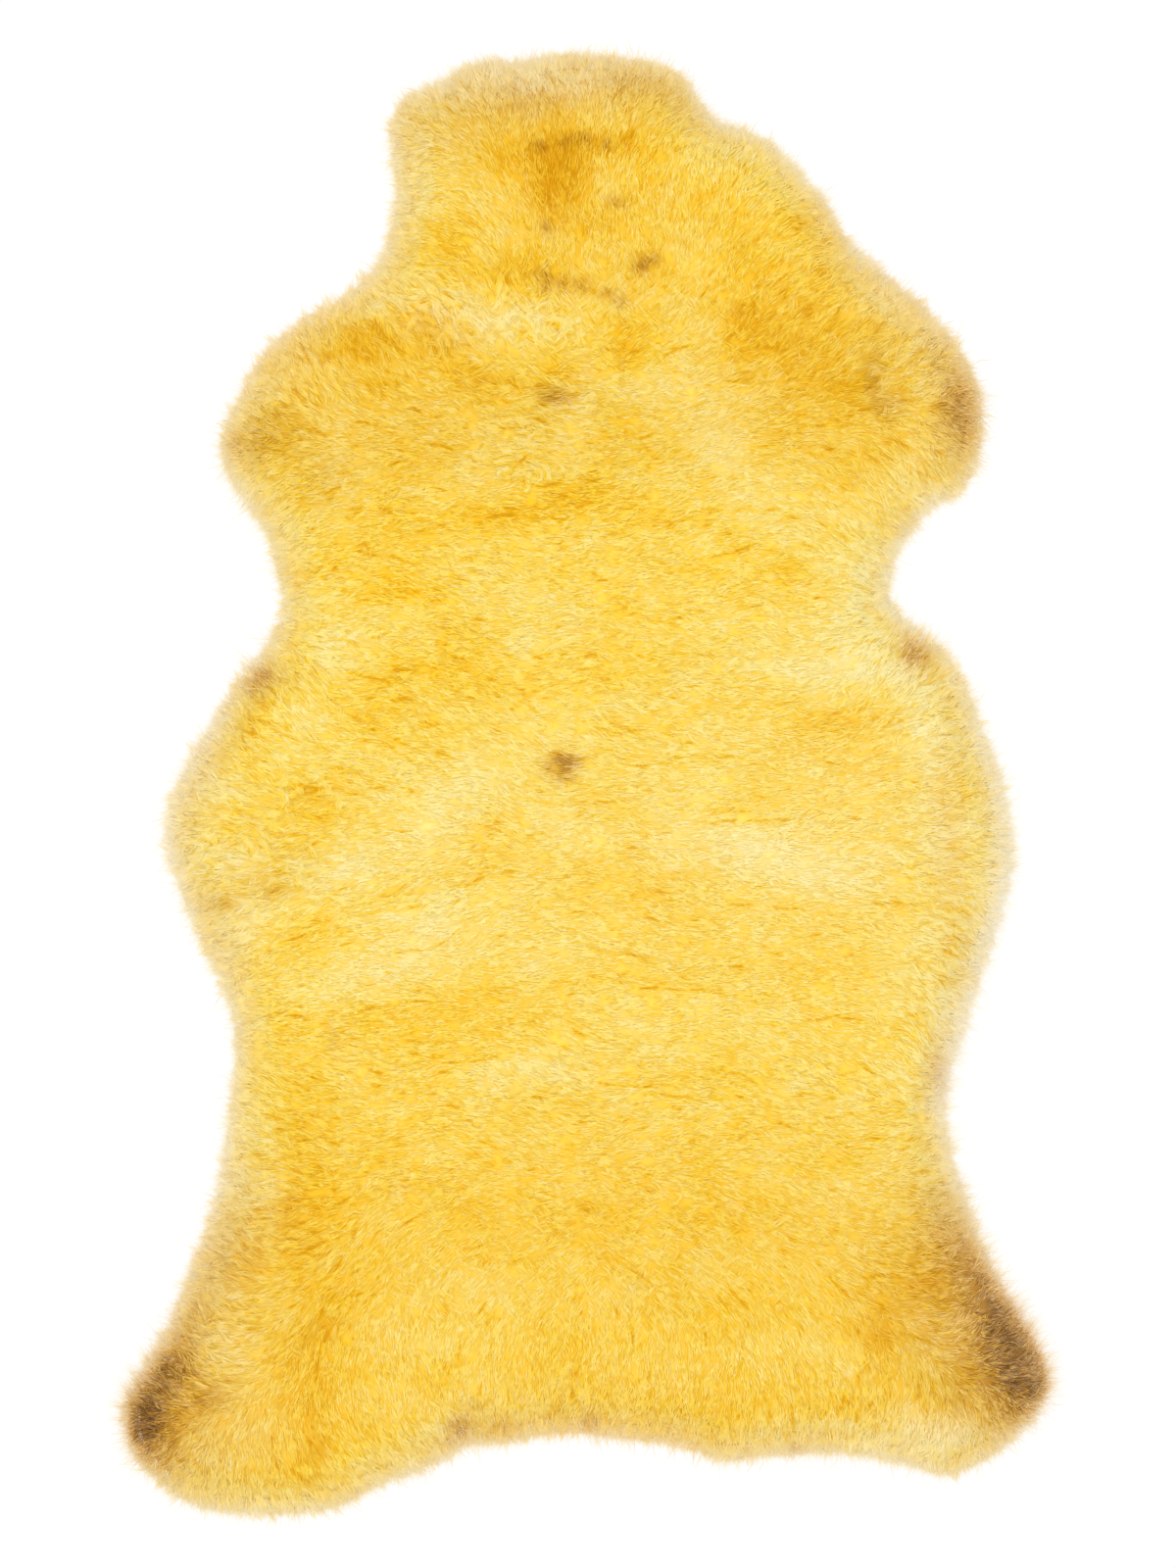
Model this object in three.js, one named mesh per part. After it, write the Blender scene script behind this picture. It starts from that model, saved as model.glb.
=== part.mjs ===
// A medical sheepskin: one whole pelt, lying flat with its wool up. Millimetres, +Z up, neck towards +Y.
// The skin's flesh side is flat at z = 0. The clipped wool on it is one lumpy slab that stands out past
// the skin's cut edge, and locks of the longer edge wool grow from its rim and come to rest at z = 0.

import * as THREE from "three";

// Driving dimensions: the skin, and the nap standing on it before its swells and hollows
const SKIN_THICKNESS = 2;
const NAP_HEIGHT = 24.5;

// How far in from the outline the slab's rim, its rounded top and the skin's cut edge lie
const RIM_INSET = 15;
const TOP_INSET = 23;
const SKIN_INSET = 30;

// The rim's wall, the breadth over which the top is rounded down to it, and how far a nick is evened out
const RIM_BOTTOM = 1;
const RIM_TOP = 10;
const ROUNDING = 42;
const EDGE_EVENING = 24;

// The locks round the rim. At a place out along a lock, share is how much of its pitch it fills there.
const LOCK_COUNT = 240;
const LOCK_ROOT_SHARE = 0.72;
const LOCK_HALF_WAY = { out: 0.5, share: 0.62, top: 7 };
const LOCK_TIP = { out: 1, share: 0.2, top: 1.4 };
const LOCK_SWAY = 0.28;
const LOCK_UNEVENNESS = 0.25;

// How finely the wool's surface and its outline are faced
const CELLS_ACROSS = 34;
const CELLS_ALONG = 54;
const SMOOTHING_PASSES = 60;
const STEPS_A_STATION = 20;
const RIM_LINE_STEPS = 600;

// How far the wool reaches to the left and right of the back line, a row for each place along the pelt
const SIDES = [
  { place: "neck corner", along: 440, left: 136, right: 125 },
  { place: "neck", along: 400, left: 133, right: 163 },
  { place: "throat", along: 370, left: 138, right: 181 },
  { place: "base of the neck", along: 347, left: 149, right: 207 },
  { place: "top of the shoulder", along: 331, left: 173, right: 227 },
  { place: "shoulder", along: 313, left: 201, right: 244 },
  { place: "shoulder point", along: 293, left: 224, right: 260 },
  { place: "foreleg, front", along: 265, left: 239, right: 271 },
  { place: "foreleg", along: 240, left: 250, right: 272 },
  { place: "foreleg, back", along: 219, left: 251, right: 269 },
  { place: "behind the foreleg", along: 200, left: 241, right: 261 },
  { place: "armpit", along: 189, left: 234, right: 241 },
  { place: "girth, front", along: 168, left: 221, right: 222 },
  { place: "girth", along: 138, left: 212, right: 208 },
  { place: "waist", along: 121, left: 208, right: 208 },
  { place: "front of the flank", along: 104, left: 215, right: 233 },
  { place: "upper flank", along: 89, left: 225, right: 249 },
  { place: "flank, front", along: 68, left: 243, right: 261 },
  { place: "flank", along: 39, left: 260, right: 272 },
  { place: "belly, front", along: 7, left: 279, right: 285 },
  { place: "belly", along: -21, left: 289, right: 291 },
  { place: "belly, back", along: -49, left: 287, right: 294 },
  { place: "lower flank", along: -87, left: 274, right: 286 },
  { place: "hip, front", along: -117, left: 262, right: 276 },
  { place: "hip", along: -146, left: 248, right: 267 },
  { place: "hip, back", along: -174, left: 241, right: 258 },
  { place: "top of the hind leg", along: -210, left: 245, right: 247 },
  { place: "thigh", along: -246, left: 248, right: 250 },
  { place: "hind leg", along: -287, left: 257, right: 263 },
  { place: "lower hind leg", along: -326, left: 271, right: 277 },
  { place: "hock", along: -363, left: 285, right: 299 },
  { place: "foot", along: -392, left: 302, right: 314 },
  { place: "toe", along: -415, left: 315, right: 316 },
  { place: "foot corner", along: -443, left: 316, right: 297 },
];

// The end of the neck, from its left corner to its right one
const NECK_END = [
  { across: -131, along: 463 },
  { across: -116, along: 473 },
  { across: -92, along: 483 },
  { across: -79, along: 493 },
  { across: -50, along: 494 },
  { across: -10, along: 500 },
  { across: 27, along: 496 },
  { across: 57, along: 490 },
  { across: 71, along: 479 },
  { across: 80, along: 463 },
  { across: 92, along: 451 },
  { across: 110, along: 446 },
];

// The rump's end, from the left foot to the right one, with the nick left of the tail
const RUMP_END = [
  { across: -306, along: -463 },
  { across: -289, along: -481 },
  { across: -262, along: -495 },
  { across: -209, along: -500 },
  { across: -166, along: -493 },
  { across: -138, along: -479 },
  { across: -110, along: -469 },
  { across: -93, along: -461 },
  { across: -86, along: -449 },
  { across: -69, along: -453 },
  { across: -44, along: -449 },
  { across: -13, along: -444 },
  { across: 37, along: -450 },
  { across: 67, along: -454 },
  { across: 88, along: -463 },
  { across: 127, along: -460 },
  { across: 160, along: -458 },
  { across: 194, along: -461 },
  { across: 220, along: -467 },
  { across: 248, along: -473 },
  { across: 273, along: -461 },
];

// Swells and hollows in the nap: a row for each, with its length, width and turn, and its rise or fall
const NAP_FORMS = [
  { place: "collar ridge", across: -66, along: 309, length: 150, width: 34, turn: -19, rise: 4.5 },
  { place: "neck hollow", across: -16, along: 408, length: 80, width: 46, turn: 80, rise: -3 },
  { place: "left shoulder hollow", across: -146, along: 295, length: 80, width: 46, turn: -40, rise: -2.6 },
  { place: "right shoulder hollow", across: 134, along: 299, length: 110, width: 60, turn: -35, rise: -2.8 },
  { place: "withers swirl", across: -34, along: 216, length: 48, width: 36, turn: 0, rise: 2.6 },
  { place: "back swell", across: 67, along: -44, length: 190, width: 60, turn: 8, rise: 3.2 },
  { place: "left flank ridge", across: -146, along: -70, length: 100, width: 34, turn: 22, rise: 4 },
  { place: "left hip ridge", across: -112, along: -114, length: 110, width: 34, turn: 25, rise: 4 },
  { place: "left hip hollow", across: -80, along: -150, length: 130, width: 44, turn: 12, rise: -2.2 },
  { place: "right flank crease", across: 243, along: -30, length: 210, width: 24, turn: 96, rise: -4.5 },
  { place: "left flank crease", across: -232, along: -78, length: 90, width: 26, turn: 8, rise: -3.4 },
  { place: "loin crease", across: 60, along: -205, length: 170, width: 26, turn: 2, rise: -3.4 },
  { place: "rump swell", across: 27, along: -325, length: 260, width: 150, turn: 0, rise: 2.4 },
  { place: "left thigh ridge", across: -235, along: -300, length: 110, width: 40, turn: 62, rise: 3.2 },
  { place: "left leg hollow", across: -188, along: -345, length: 110, width: 38, turn: 112, rise: -2.6 },
  { place: "right leg hollow", across: 215, along: -360, length: 100, width: 44, turn: 60, rise: -2.4 },
  { place: "tail nick", across: -88, along: -438, length: 44, width: 24, turn: 70, rise: -3.5 },
];

// The nap's slow waves, most with their crests across the pelt as the wool was combed. Heading in degrees.
const NAP_WAVES = [
  { length: 66, heading: 82, start: 10, rise: 0.7 },
  { length: 84, heading: 108, start: 25, rise: 0.7 },
  { length: 97, heading: 14, start: 40, rise: 0.4 },
  { length: 118, heading: 58, start: 5, rise: 0.7 },
  { length: 176, heading: 146, start: 60, rise: 0.8 },
];

// How far single clumps of wool stand above or below the nap
const CLUMP_RISE = 1.5;

// The wool's dyed golden yellow
const WOOL_COLOUR = 0xf6cb4a;
const WOOL_ROUGHNESS = 0.95;

const { clamp, degToRad, seededRandom } = THREE.MathUtils;

// The outline over the wool, counter-clockwise from the neck's right corner, with the four corners' places
function drawOutline() {
  const neck = NECK_END.map((row) => [row.across, row.along]).reverse();
  const left = SIDES.map((row) => [-row.left, row.along]);
  const rump = RUMP_END.map((row) => [row.across, row.along]);
  const right = SIDES.slice(1).map((row) => [row.right, row.along]).reverse();
  const start = [[SIDES[0].right, SIDES[0].along]];
  const stations = [...start, ...neck, ...left, ...rump, ...right];
  const curve = new THREE.CatmullRomCurve3(
    stations.map(([x, y]) => new THREE.Vector3(x, y, 0)),
    true,
    "centripetal",
  );
  curve.arcLengthDivisions = stations.length * STEPS_A_STATION;
  const lengths = curve.getLengths();
  const length = lengths[lengths.length - 1];
  const shareAt = (station) => lengths[station * STEPS_A_STATION] / length;
  const neckLeft = start.length + neck.length;
  const footLeft = neckLeft + SIDES.length - 1;
  const footRight = footLeft + rump.length + 1;
  return { curve, length, corners: [0, shareAt(neckLeft), shareAt(footLeft), shareAt(footRight), 1] };
}

const outline = drawOutline();

// A point on the outline at a share of the way round, or inset from it. The direction in is square to a
// chord with its ends well to either side, so that an inset line runs smoothly past nicks and corners.
function edgePoint(share, inset) {
  const wrap = (value) => ((value % 1) + 1) % 1;
  const reach = Math.max(inset, EDGE_EVENING) / outline.length;
  const point = outline.curve.getPointAt(wrap(share));
  const chord = outline.curve.getPointAt(wrap(share + reach));
  chord.sub(outline.curve.getPointAt(wrap(share - reach)));
  chord.normalize();
  return new THREE.Vector2(point.x - chord.y * inset, point.y + chord.x * inset);
}

// Shares of the way round, evenly spaced on each of the four sides between the corners
function borderShares() {
  const counts = [CELLS_ACROSS, CELLS_ALONG, CELLS_ACROSS, CELLS_ALONG];
  return counts.flatMap((count, side) => {
    const [from, to] = [outline.corners[side], outline.corners[side + 1]];
    return Array.from({ length: count }, (_, step) => from + ((to - from) * step) / count);
  });
}

const rimSteps = Array.from({ length: RIM_LINE_STEPS }, (_, step) => step / RIM_LINE_STEPS);
const rimLine = rimSteps.map((share) => edgePoint(share, RIM_INSET));

// How far a point lies in from the slab's rim
function distanceFromRim(point) {
  let nearest = Infinity;
  for (const [index, from] of rimLine.entries()) {
    const to = rimLine[(index + 1) % rimLine.length];
    const run = to.clone().sub(from);
    const toPoint = point.clone().sub(from);
    const share = clamp(toPoint.dot(run) / run.lengthSq(), 0, 1);
    nearest = Math.min(nearest, toPoint.addScaledVector(run, -share).length());
  }
  return nearest;
}

// The nap's rise or fall at a point, from its swells, hollows and slow waves
function napForm(x, y) {
  let rise = 0;
  for (const form of NAP_FORMS) {
    const turn = degToRad(form.turn);
    const [dx, dy] = [x - form.across, y - form.along];
    const lengthways = (dx * Math.cos(turn) + dy * Math.sin(turn)) / (form.length / 2);
    const sideways = (dy * Math.cos(turn) - dx * Math.sin(turn)) / (form.width / 2);
    rise += form.rise * Math.exp(-lengthways * lengthways - sideways * sideways);
  }
  for (const wave of NAP_WAVES) {
    const heading = degToRad(wave.heading);
    const along = x * Math.cos(heading) + y * Math.sin(heading);
    rise += wave.rise * Math.sin((2 * Math.PI * (along + wave.start)) / wave.length);
  }
  return rise;
}

// The height of the wool's surface: full inside, and rounded down to the top of the rim at the edge
function woolSurface(point) {
  const inward = Math.min(distanceFromRim(point) / ROUNDING, 1);
  const fullness = Math.sqrt(1 - (1 - inward) ** 2);
  const full = SKIN_THICKNESS + NAP_HEIGHT - RIM_TOP + napForm(point.x, point.y);
  return RIM_TOP + full * fullness;
}

// The points and triangles of the pelt's closed surface
const points = [];
const triangles = [];

function addPoint(flat, height) {
  points.push([flat.x, flat.y, height]);
  return points.length - 1;
}

function addQuad(a, b, c, d) {
  triangles.push([a, b, c], [a, c, d]);
}

// A ring of points at a height, one at each share of the way round
function addRing(shares, inset, height) {
  return shares.map((share) => addPoint(edgePoint(share, inset), height));
}

// Triangles between an outer and an inner ring of unlike counts, each on the shorter way across
function stitch(outer, inner) {
  const apart = (a, b) => Math.hypot(points[a][0] - points[b][0], points[a][1] - points[b][1]);
  let [out, into] = [0, 0];
  while (out < outer.length || into < inner.length) {
    const [outerHere, outerNext] = [outer[out % outer.length], outer[(out + 1) % outer.length]];
    const [innerHere, innerNext] = [inner[into % inner.length], inner[(into + 1) % inner.length]];
    const alongOuter = out < outer.length ? apart(outerNext, innerHere) : Infinity;
    const alongInner = into < inner.length ? apart(outerHere, innerNext) : Infinity;
    if (alongOuter <= alongInner) {
      triangles.push([outerHere, outerNext, innerHere]);
      out += 1;
    } else {
      triangles.push([outerHere, innerNext, innerHere]);
      into += 1;
    }
  }
}

// A grid of places stretched between the four sides of the pelt
function stretchGrid(border) {
  const neckAt = (column) => border[CELLS_ACROSS - column];
  const leftAt = (row) => border[CELLS_ACROSS + row];
  const rumpAt = (column) => border[CELLS_ACROSS + CELLS_ALONG + column];
  const rightAt = (row) => border[(2 * (CELLS_ACROSS + CELLS_ALONG) - row) % border.length];
  const blend = (from, to, share) => from.clone().lerp(to, share);
  const [neckLeft, neckRight] = [neckAt(0), neckAt(CELLS_ACROSS)];
  const [footLeft, footRight] = [rumpAt(0), rumpAt(CELLS_ACROSS)];
  return Array.from({ length: CELLS_ALONG + 1 }, (_, row) =>
    Array.from({ length: CELLS_ACROSS + 1 }, (_, column) => {
      const over = column / CELLS_ACROSS;
      const down = row / CELLS_ALONG;
      const place = blend(leftAt(row), rightAt(row), over);
      place.add(blend(neckAt(column), rumpAt(column), down));
      place.sub(blend(blend(neckLeft, neckRight, over), blend(footLeft, footRight, over), down));
      return place;
    }),
  );
}

// Moves the inner places of the grid until its lines run smoothly from side to side and no cell folds
function smoothGrid(grid) {
  for (let pass = 0; pass < SMOOTHING_PASSES; pass += 1) {
    for (let row = 1; row < CELLS_ALONG; row += 1) {
      const [above, here, below] = [grid[row - 1], grid[row], grid[row + 1]];
      for (let column = 1; column < CELLS_ACROSS; column += 1) {
        const across = here[column + 1].clone().sub(here[column - 1]);
        const along = below[column].clone().sub(above[column]);
        const skew = below[column + 1].clone().add(above[column - 1]);
        skew.sub(above[column + 1]).sub(below[column - 1]);
        const place = here[column + 1].clone().add(here[column - 1]).multiplyScalar(along.lengthSq());
        place.addScaledVector(above[column].clone().add(below[column]), across.lengthSq());
        place.addScaledVector(skew, -across.dot(along) / 2);
        here[column].copy(place.divideScalar(2 * (along.lengthSq() + across.lengthSq())));
      }
    }
  }
}

// The wool's top, with its clumps standing a little above or below each other. Gives its ring of edge points.
function addWoolTop(shares) {
  const places = stretchGrid(shares.map((share) => edgePoint(share, TOP_INSET)));
  smoothGrid(places);
  seededRandom(3);
  const clump = () => CLUMP_RISE * (2 * seededRandom() - 1);
  const grid = places.map((line) => line.map((place) => addPoint(place, woolSurface(place) + clump())));
  for (let row = 0; row < CELLS_ALONG; row += 1) {
    for (let column = 0; column < CELLS_ACROSS; column += 1) {
      addQuad(grid[row + 1][column], grid[row + 1][column + 1], grid[row][column + 1], grid[row][column]);
    }
  }
  return [
    ...grid[0].slice(1).reverse(),
    ...grid.slice(0, -1).map((line) => line[0]),
    ...grid[CELLS_ALONG].slice(0, -1),
    ...grid.slice(1).map((line) => line[CELLS_ACROSS]).reverse(),
  ];
}

// The rim's two edges, with two points for each lock's root and a gap of bare rim between the locks
function addRim() {
  const shares = [];
  for (let lock = 0; lock < LOCK_COUNT; lock += 1) {
    shares.push((lock + 0.5 - LOCK_ROOT_SHARE / 2) / LOCK_COUNT);
    shares.push((lock + 0.5 + LOCK_ROOT_SHARE / 2) / LOCK_COUNT);
  }
  return { below: addRing(shares, RIM_INSET, RIM_BOTTOM), above: addRing(shares, RIM_INSET, RIM_TOP) };
}

// Four corners of a lock at one place along it, from under its right side round to over it
function addLockSection(middle, share, out, top) {
  const half = share / 2 / LOCK_COUNT;
  const inset = RIM_INSET * (1 - out);
  const right = edgePoint(middle - half, inset);
  const left = edgePoint(middle + half, inset);
  return [addPoint(right, 0), addPoint(left, 0), addPoint(left, top), addPoint(right, top)];
}

function addSleeve(from, to) {
  for (let side = 0; side < from.length; side += 1) {
    const next = (side + 1) % from.length;
    addQuad(from[side], from[next], to[next], to[side]);
  }
}

// Each lock leaves its root on the rim, comes down to the floor half way out and tapers to its tip
function addLocks({ below, above }) {
  seededRandom(7);
  for (let lock = 0; lock < LOCK_COUNT; lock += 1) {
    const [right, left, next] = [2 * lock, 2 * lock + 1, (2 * lock + 2) % below.length];
    const root = [below[right], below[left], above[left], above[right]];
    const middle = (lock + 0.5) / LOCK_COUNT;
    const sway = (LOCK_SWAY * (2 * seededRandom() - 1)) / LOCK_COUNT;
    const length = 1 + LOCK_UNEVENNESS * (2 * seededRandom() - 1);
    const [half, tip] = [LOCK_HALF_WAY, LOCK_TIP];
    const section = addLockSection(middle + sway * half.out, half.share, half.out * length, half.top);
    const end = addLockSection(middle + sway, tip.share, tip.out * length, tip.top);
    addSleeve(root, section);
    addSleeve(section, end);
    addQuad(...end);
    addQuad(below[left], below[next], above[next], above[left]);
  }
}

// The skin: its flat flesh side on the floor, and its cut edge up to where the wool stands out past it
function addSkin(shares, rimBelow) {
  const foot = addRing(shares, SKIN_INSET, 0);
  const cut = addRing(shares, SKIN_INSET, SKIN_THICKNESS);
  for (let step = 0; step < foot.length; step += 1) {
    const next = (step + 1) % foot.length;
    addQuad(foot[step], foot[next], cut[next], cut[step]);
  }
  const overhang = triangles.length;
  stitch(rimBelow, cut);
  for (const triangle of triangles.slice(overhang)) {
    triangle.reverse();
  }
  const edge = shares.map((share) => edgePoint(share, SKIN_INSET));
  for (const [a, b, c] of THREE.ShapeUtils.triangulateShape(edge, [])) {
    triangles.push([foot[c], foot[b], foot[a]]);
  }
}

// The closed surface as a geometry, centred over the origin and standing on z = 0
function peltGeometry() {
  const shares = borderShares();
  const rim = addRim();
  stitch(rim.above, addWoolTop(shares));
  addLocks(rim);
  addSkin(shares, rim.below);
  const geometry = new THREE.BufferGeometry();
  geometry.setAttribute("position", new THREE.Float32BufferAttribute(points.flat(), 3));
  geometry.setIndex(triangles.flat());
  geometry.computeBoundingBox();
  const middle = geometry.boundingBox.getCenter(new THREE.Vector3());
  geometry.translate(-middle.x, -middle.y, 0);
  geometry.computeVertexNormals();
  return geometry;
}

const wool = new THREE.MeshStandardMaterial({ color: WOOL_COLOUR, roughness: WOOL_ROUGHNESS, metalness: 0 });
const pelt = new THREE.Mesh(peltGeometry(), wool);
pelt.name = "pelt";

const sheepskin = new THREE.Group();
sheepskin.add(pelt);

export default sheepskin;
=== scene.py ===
import math

import bmesh
import bpy
import numpy as np
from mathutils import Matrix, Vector
from mathutils.bvhtree import BVHTree


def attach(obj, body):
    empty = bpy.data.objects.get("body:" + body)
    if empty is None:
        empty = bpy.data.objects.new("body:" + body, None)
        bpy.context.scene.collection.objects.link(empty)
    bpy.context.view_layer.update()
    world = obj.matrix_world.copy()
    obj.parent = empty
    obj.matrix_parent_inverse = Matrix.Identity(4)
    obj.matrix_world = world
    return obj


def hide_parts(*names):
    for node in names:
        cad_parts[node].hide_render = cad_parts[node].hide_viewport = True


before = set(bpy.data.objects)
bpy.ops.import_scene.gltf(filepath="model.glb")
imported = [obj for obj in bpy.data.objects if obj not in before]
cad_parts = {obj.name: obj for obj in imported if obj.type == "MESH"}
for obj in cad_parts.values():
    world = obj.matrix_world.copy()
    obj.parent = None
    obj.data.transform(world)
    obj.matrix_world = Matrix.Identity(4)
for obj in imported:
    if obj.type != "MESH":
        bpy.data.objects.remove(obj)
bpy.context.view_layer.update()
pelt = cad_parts["pelt"]

# Lengths are in millimetres up to the point where a mesh is made
MM = 0.001

# The skin, and how far the longest wool stands out past its cut edge
SKIN_THICKNESS = 2
FRINGE_REACH = 30

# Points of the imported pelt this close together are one, and ones this low lie on the floor, in metres
WELD = 1e-6
FLOOR_TOUCH = 1e-5

# The pelt's plan: a grid over it for heights, distances from the edge and the lie of the wool
PLAN_STEP = 3
PLAN_HALF_WIDTH = 345
PLAN_HALF_LENGTH = 528

# The plan's depth starts at 0 at the tips of the longest edge wool. Deeper than the slope's width the nap
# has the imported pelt's height, and from there it slopes down to the floor.
SLOPE_WIDTH = 23
SLOPE_HEIGHT = 10

# How many times the plans are evened out: the edge, the ways out to it and the heights
EDGE_SOFTENING = 6
OUTWARD_SOFTENING = 40
HEIGHT_SOFTENING = 3

# The felted underwool that the nap grows out of: its grid, its rim's depth, how far it lies under the
# nap and above the floor, its least thickness, and its lumps
UNDERWOOL_STEP = 7
UNDERWOOL_HALF_WIDTH = 330
UNDERWOOL_HALF_LENGTH = 515
UNDERWOOL_EDGE = 14
UNDERWOOL_DEPTH = 1.5
UNDERWOOL_FLOOR = 2.4
UNDERWOOL_LEAST = 1.5
UNDERWOOL_LUMPS = 0.6
RIM_ROUNDS = 3
MAP_MARGIN = 0.01

# The wool lies over to both sides of the back line. Nearer to it than this, the sides are mixed.
PARTING = 130

# The nap: tufts of fine strands, laid over each other like thatch, from this depth inwards
NAP_PIECES = 4
NAP_EDGE = 3.5
TUFT_SPACING = 5.4
TUFT_LENGTHS = (5.2, 8.0)
TUFT_SPREADS = (3.0, 4.6)
TUFT_STARTS = (-5.2, 2.4)
STRANDS_A_TUFT = 24
STRAND_WIDTH = 0.53
LOWEST_STRAND = 1.2

# A strand's root, middle and tip: how far along it they are, their heights against the nap's, their
# share of its rise, how they lean, and how far from deep to pale their colour is. The deep colour towards
# the root is painted shade, for light caught deep in the nap
STATIONS = np.array([0.0, 0.5, 1.0])
STRAND_LIFTS = np.array([-0.9, -0.15, -0.1])
STRAND_RISES = np.array([0.3, 1, 0.9])
STRAND_LEANS = np.array([-0.03, 0.0, 0.04])
ALONG_STRAND = (0.34, 0.54, 0.68)

# How strongly the nap's light follows its swells, and how far its marks stray from strand to strand
SWELL_SHADING = 0.4
MARK_STRAY = 1.4

# The creases between locks: dashes drawn as spots, which press the strands down and deepen their tone, as
# painted shade in the creases
CREASE_STEP = 1
CREASE_SPACING = 7.5
CREASE_WIDTH = 0.55
CREASE_SPOTS = 160
CREASE_REACH = 2
SHORTEST_CREASE = 3
DEEPEST_CREASE = 1.2
CREASE_DEPTH = 0.6
CREASE_PAINTED_SHADE = 4.6

# Curls: arcs of tufts in two rings. The inner ring's deeper tone is painted shade in the curl's crease
CURL_RADII = (4.5, 8.5)
CURL_SWEEPS = (1.0, 2.2)
CURL_STATIONS = 3
CURL_SETTINGS = {"back": 0.0, "pull": 0.2, "hump": 0.3, "reach": 0.35}
CURL_RINGS = [
    # inside the curl's radius by, spread, tone, rise
    (0, 2.4, 0.7, 0.35),
    (2.2, 1.0, -1.2, 0.3),
]

# The edge wool: fine strands that fade out past the nap. Their roots are closest at one depth.
HAIR_SPACING = 0.5
HAIR_SHARE = 0.5
HAIR_EDGE = 7
ROOT_DEPTH = 12
ROOT_BREADTH = 8
HAIR_LENGTHS = (7, 34)
HAIR_WIDTH = 0.36
HAIR_LIFTS = np.array([-1.2, 0.3, 0.5])
LOWEST_HAIR = 0.5
# How far from deep to pale the edge strands' colour is at root, middle and tip; the deep colour towards the
# root is painted shade
ALONG_HAIR = (0.4, 0.6, 0.9)

# The studio, in metres and watts
FLOOR_REACH = 20.0
FLOOR_LEVEL = -0.001
FLOOR_GLOW = 0.71
SKY_STRENGTH = 0.76
SOFTBOX_SIZE = (2.2, 1.6)
SOFTBOX_PLACE = (-0.2, 0.0, 3.0)
SOFTBOX_POWER = 40

# The camera looks straight down, and its picture is 1064 mm long at the height of the edge wool
PICTURE_LENGTH = 1064
LENS = 80
SENSOR = 36
EDGE_WOOL_HEIGHT = 6
CAMERA_PLACE = (1, 1.5)
CLIP_END = 50


# Plain arithmetic for grids and points

LATTICE_SIZE = 256
LATTICE_MIDDLE = (128.37, 128.91)


def smooth_step(low, high, value):
    """Rises smoothly from 0 at low to 1 at high."""
    share = np.clip((value - low) / (high - low), 0, 1)
    return share * share * (3 - 2 * share)


def blend(field, columns, rows, right, up):
    """The values between four points of a grid. columns and rows are each the ones before and after."""
    low = field[columns[0], rows[0]] * (1 - right) + field[columns[1], rows[0]] * right
    high = field[columns[0], rows[1]] * (1 - right) + field[columns[1], rows[1]] * right
    return low * (1 - up) + high * up


def lattice_noise(seed, spacing):
    """A smooth random function of the plan from -1 to 1, with its swells about spacing apart."""
    lattice = np.random.default_rng(seed).uniform(-1, 1, (LATTICE_SIZE, LATTICE_SIZE))

    def noise(x, y):
        across = np.asarray(x) / spacing + LATTICE_MIDDLE[0]
        along = np.asarray(y) / spacing + LATTICE_MIDDLE[1]
        column = np.floor(across).astype(int)
        row = np.floor(along).astype(int)
        right = smooth_step(0, 1, across - column)
        up = smooth_step(0, 1, along - row)
        columns = (column % LATTICE_SIZE, (column + 1) % LATTICE_SIZE)
        rows = (row % LATTICE_SIZE, (row + 1) % LATTICE_SIZE)
        return blend(lattice, columns, rows, right, up)

    return noise


def soften(field, passes):
    """Evens out a plan by averaging each point with its neighbours."""
    for _ in range(passes):
        for axis in (0, 1):
            padded = np.pad(field, [(1, 1) if side == axis else (0, 0) for side in (0, 1)], mode="edge")
            before = padded.take(range(0, field.shape[axis]), axis)
            after = padded.take(range(2, field.shape[axis] + 2), axis)
            field = (before + 2 * field + after) / 4
    return field


def grid(half_width, half_length, step, past_end=1):
    """The places across and along of a grid's points, with the grid's middle at 0."""
    across = np.arange(-half_width, half_width + past_end, step, dtype=float)
    along = np.arange(-half_length, half_length + past_end, step, dtype=float)
    return np.meshgrid(across, along, indexing="ij")


# The plan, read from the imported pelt

plan_x, plan_y = grid(PLAN_HALF_WIDTH, PLAN_HALF_LENGTH, PLAN_STEP)


def read_plan(field, x, y, step=PLAN_STEP):
    """A plan's value at any points, from the four grid points round each. Points past it take its edge's."""
    across = np.clip((x + PLAN_HALF_WIDTH) / step, 0, field.shape[0] - 1.001)
    along = np.clip((y + PLAN_HALF_LENGTH) / step, 0, field.shape[1] - 1.001)
    column = across.astype(int)
    row = along.astype(int)
    return blend(field, (column, column + 1), (row, row + 1), across - column, along - row)


def largest_patch(faces):
    """The faces that hang together over the largest area, out of some flat ones, and that area."""
    waiting = {face.index: face for face in faces}
    largest, largest_area = [], 0
    while waiting:
        patch = [waiting.popitem()[1]]
        for face in patch:
            for edge in face.edges:
                patch += [
                    waiting.pop(beside.index) for beside in edge.link_faces if beside.index in waiting
                ]
        area = sum(face.calc_area() for face in patch)
        if area > largest_area:
            largest, largest_area = patch, area
    return largest, largest_area


def skin_edge_line():
    """The skin's cut edge as points in order, from the flat face that the pelt lies on, and its area."""
    work = bmesh.new()
    work.from_mesh(pelt.data)
    bmesh.ops.remove_doubles(work, verts=work.verts, dist=WELD)
    work.verts.index_update()
    work.faces.index_update()
    on_floor = [face for face in work.faces if max(corner.co.z for corner in face.verts) < FLOOR_TOUCH]
    flesh_side, area = largest_patch(on_floor)
    inside = {face.index for face in flesh_side}
    after = {}
    for face in flesh_side:
        for loop in face.loops:
            if sum(beside.index in inside for beside in loop.edge.link_faces) == 1:
                after[loop.vert.index] = loop.link_loop_next.vert
    first = min(after)
    line = [after[first]]
    while line[-1].index != first:
        line.append(after[line[-1].index])
    points = np.array([(corner.co.x, corner.co.y) for corner in line]) / MM
    work.free()
    return points, area


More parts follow.
